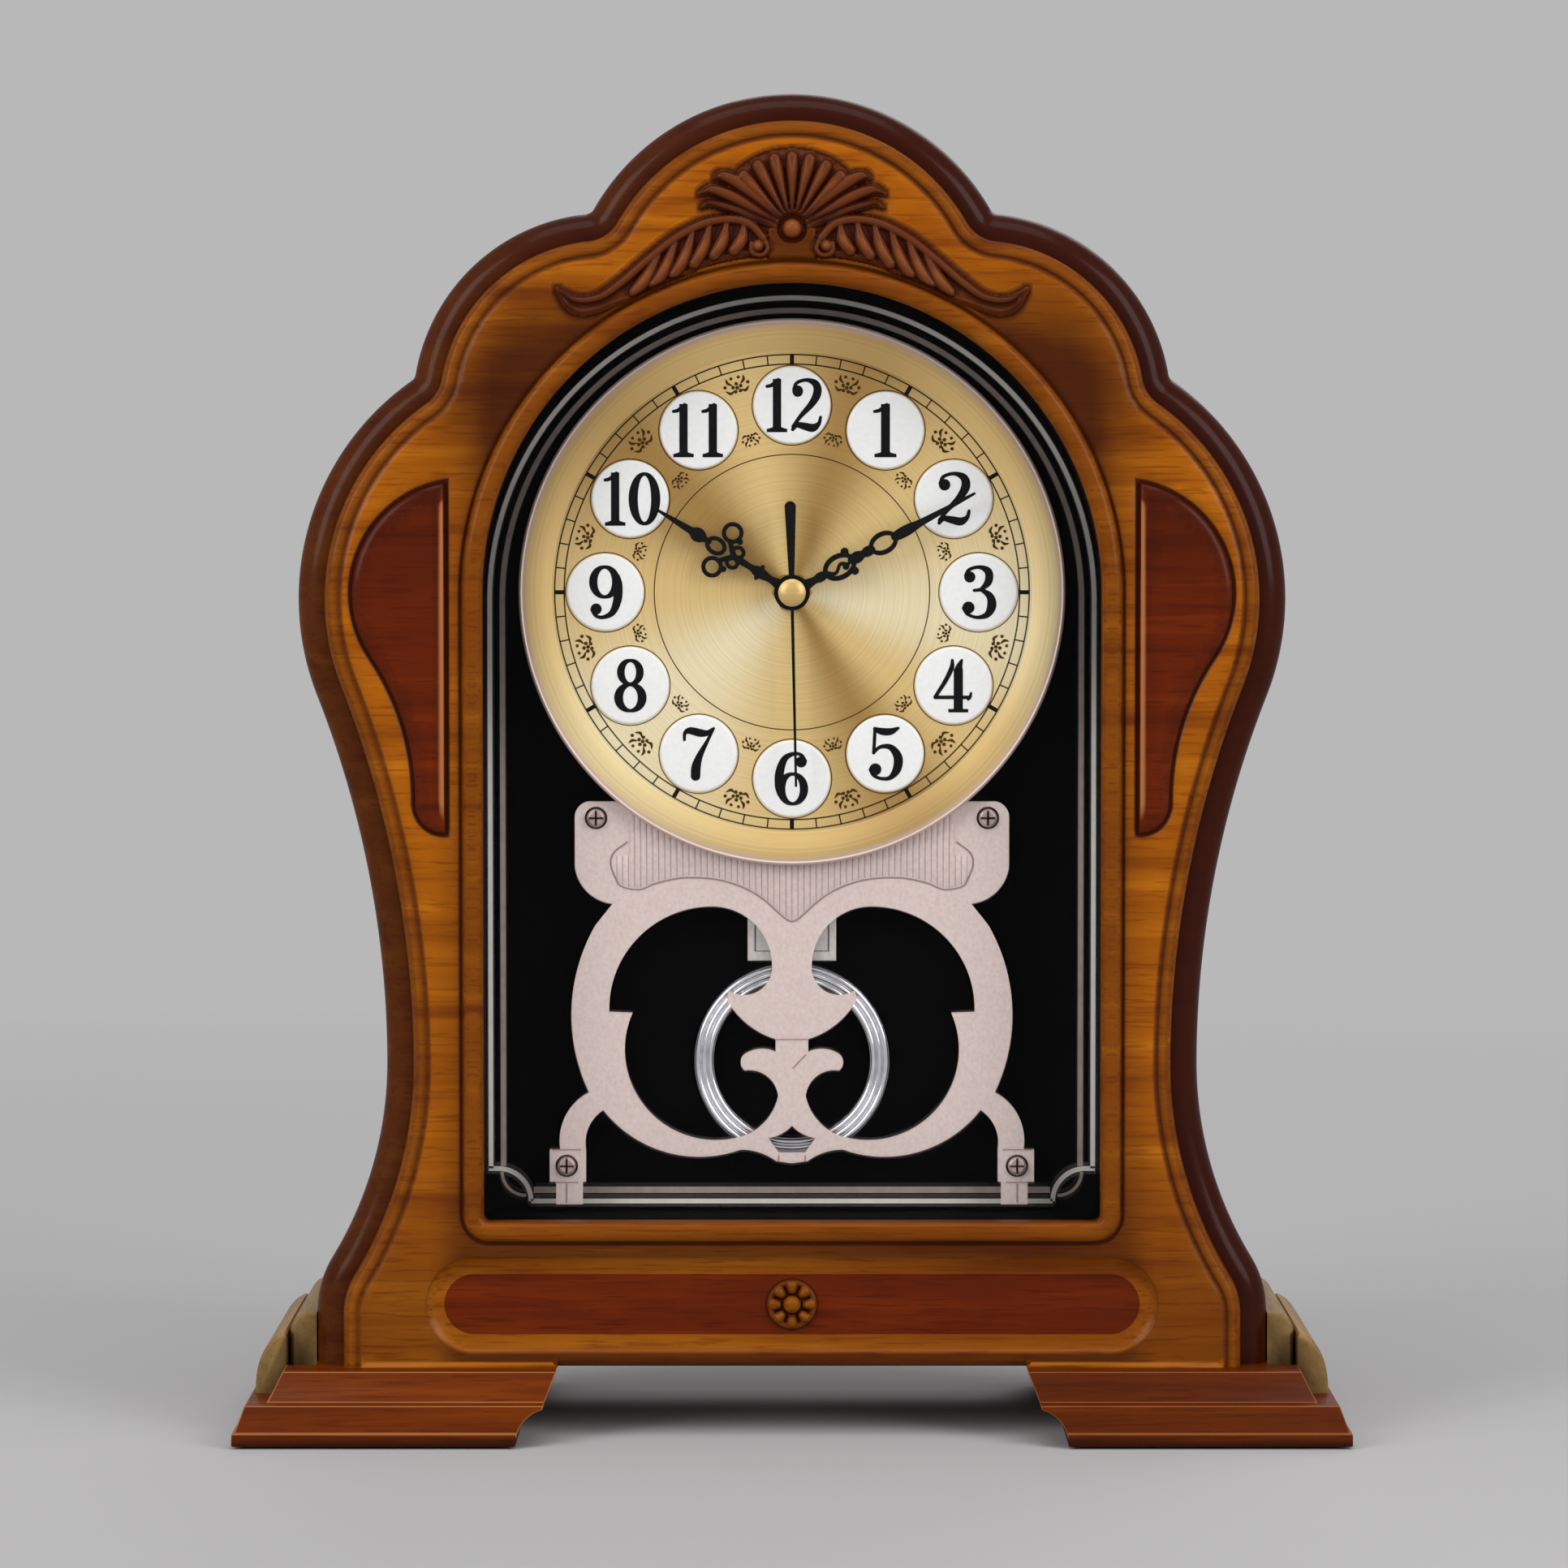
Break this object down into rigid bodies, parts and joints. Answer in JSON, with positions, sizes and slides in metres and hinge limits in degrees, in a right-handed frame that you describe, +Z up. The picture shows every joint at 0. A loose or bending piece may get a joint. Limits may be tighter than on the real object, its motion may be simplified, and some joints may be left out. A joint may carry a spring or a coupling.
{
  "type": "desk pendulum clock",
  "caption": "Mantel clock with a shaped wooden front, carved crest, arched glass window, gold dial with hands, pierced metal ornament, swinging ring pendulum and a hinged rear door.",
  "frame": {"origin": "on the surface that the clock stands on, in the middle of its width and depth", "axes": "+X to the right as the viewer faces the dial, +Y from the front to the back, +Z up"},
  "size_m": [0.3472, 0.14, 0.42],
  "materials": {
    "front_wood": "clear gloss lacquer over amber wood toned dark at the edges",
    "bead_wood": "clear gloss lacquer",
    "panel_wood": "clear gloss lacquer over red-brown stain",
    "carved_wood": "clear gloss lacquer, dark in the hollows",
    "case_wood": "satin lacquer over dark brown stain",
    "foot_wood": "clear gloss lacquer",
    "moulding_wood": "clear gloss lacquer",
    "door_wood": "satin lacquer over dark brown stain",
    "brass": "polished and lacquered",
    "hinge_pin": "bright drawn",
    "catch": "brown moulded",
    "pad": "black",
    "glass": "clear",
    "spacer": "black paint",
    "board": "black satin paint with printed gold lines",
    "clip": "zinc plated",
    "dial": "gold, spun in the middle",
    "bezel": "polished gold",
    "disc": "white enamel",
    "hand": "black gloss",
    "ornament": "brushed, rose-silver",
    "screw": "nickel plated",
    "bracket": "brushed",
    "steel": "bright",
    "ring": "polished",
    "magnet": "sintered",
    "black_plastic": "moulded",
    "gear": "moulded",
    "copper": "enamelled copper wire",
    "battery": "plain wrapped cell"
  },
  "bodies": {
    "case": {"front_panel": "front_wood", "window_bead": "bead_wood", "side_panel_left": "panel_wood", "side_panel_right": "panel_wood", "apron_panel": "panel_wood", "apron_rosette": "carved_wood", "crest_carving": "carved_wood", "case_side_left": "case_wood", "case_side_right": "case_wood", "case_arch": "case_wood", "base_board": "case_wood", "foot_left": "foot_wood", "foot_right": "foot_wood", "foot_pads": "pad", "side_moulding_left": "moulding_wood", "side_moulding_right": "moulding_wood", "hinge_case_leaves": "brass", "hinge_pins": "hinge_pin", "door_magnet": "catch", "front_glass": "glass", "spacer_frame": "spacer", "dial_board": "board", "board_clips": "clip", "dial_plate": "dial", "dial_bezel": "bezel", "number_discs": "disc", "dial_posts": "brass", "ornament_plate": "ornament", "ornament_posts": "steel", "ornament_screws": "screw", "pendulum_bracket": "bracket", "pendulum_pin": "steel", "pendulum_drive": "black_plastic", "movement_front_shell": "black_plastic", "movement_rear_shell": "black_plastic", "movement_bush": "brass", "bush_nut": "brass", "stepper_stator": "steel", "stepper_coil": "copper", "battery": "battery", "battery_contacts": "steel"},
    "door": {"rear_door": "door_wood", "door_knob": "brass", "hinge_door_leaves": "brass"},
    "pendulum": {"pendulum_rod": "steel", "pendulum_ring": "ring", "pendulum_magnet": "magnet"},
    "minute_hand": {"minute_hand": "hand", "minute_arbor": "brass"},
    "hour_hand": {"hour_hand": "hand", "hour_wheel": "gear"},
    "minute_wheel": {"minute_wheel": "gear"},
    "setting_knob": {"setting_knob": "black_plastic"},
    "second_hand": {"second_hand": "hand", "hand_cap": "bezel", "second_arbor": "gear"},
    "centre_wheel": {"centre_wheel": "gear"},
    "third_wheel": {"third_wheel": "gear"},
    "step_wheel": {"step_wheel": "gear"},
    "rotor": {"rotor": "gear"}
  },
  "joints": [
    {"name": "door_hinge", "type": "hinge", "parent": "case", "child": "door", "pos_m": [0.1018, 0.05375, 0.165], "axis": [0, 0, -1], "range_deg": [0, 110]},
    {"name": "pendulum_swing", "type": "hinge", "parent": "case", "child": "pendulum", "pos_m": [0, -0.016, 0.1617], "axis": [0, 1, 0], "range_deg": [-10, 10]},
    {"name": "minute_hand_turn", "type": "hinge", "parent": "case", "child": "minute_hand", "pos_m": [0, 0, 0.2643], "axis": [0, 1, 0], "continuous": true},
    {"name": "hour_hand_turn", "type": "hinge", "parent": "case", "child": "hour_hand", "pos_m": [0, 0, 0.2643], "axis": [0, 1, 0], "continuous": true},
    {"name": "minute_wheel_turn", "type": "hinge", "parent": "case", "child": "minute_wheel", "pos_m": [0, 0, 0.2771], "axis": [0, 1, 0], "continuous": true},
    {"name": "setting_knob_turn", "type": "hinge", "parent": "case", "child": "setting_knob", "pos_m": [0.01109, 0, 0.2835], "axis": [0, 1, 0], "continuous": true},
    {"name": "second_hand_turn", "type": "hinge", "parent": "case", "child": "second_hand", "pos_m": [0, 0, 0.2643], "axis": [0, 1, 0], "continuous": true},
    {"name": "centre_wheel_turn", "type": "hinge", "parent": "case", "child": "centre_wheel", "pos_m": [0, 0, 0.2643], "axis": [0, 1, 0], "continuous": true},
    {"name": "third_wheel_turn", "type": "hinge", "parent": "case", "child": "third_wheel", "pos_m": [-0.01099, 0, 0.2683], "axis": [0, 1, 0], "continuous": true},
    {"name": "step_wheel_turn", "type": "hinge", "parent": "case", "child": "step_wheel", "pos_m": [0.01184, 0, 0.26861], "axis": [0, 1, 0], "continuous": true},
    {"name": "rotor_turn", "type": "hinge", "parent": "case", "child": "rotor", "pos_m": [0.0133, 0, 0.27688], "axis": [0, 1, 0], "continuous": true}
  ],
  "couplings": [
    {"joint": "hour_hand_turn", "follows": "minute_hand_turn", "ratio": 0.083333},
    {"joint": "minute_wheel_turn", "follows": "minute_hand_turn", "ratio": -0.33333},
    {"joint": "setting_knob_turn", "follows": "minute_hand_turn", "ratio": 1},
    {"joint": "third_wheel_turn", "follows": "second_hand_turn", "ratio": -0.13333},
    {"joint": "centre_wheel_turn", "follows": "second_hand_turn", "ratio": 0.016667},
    {"joint": "step_wheel_turn", "follows": "second_hand_turn", "ratio": -5},
    {"joint": "rotor_turn", "follows": "second_hand_turn", "ratio": 30}
  ]
}
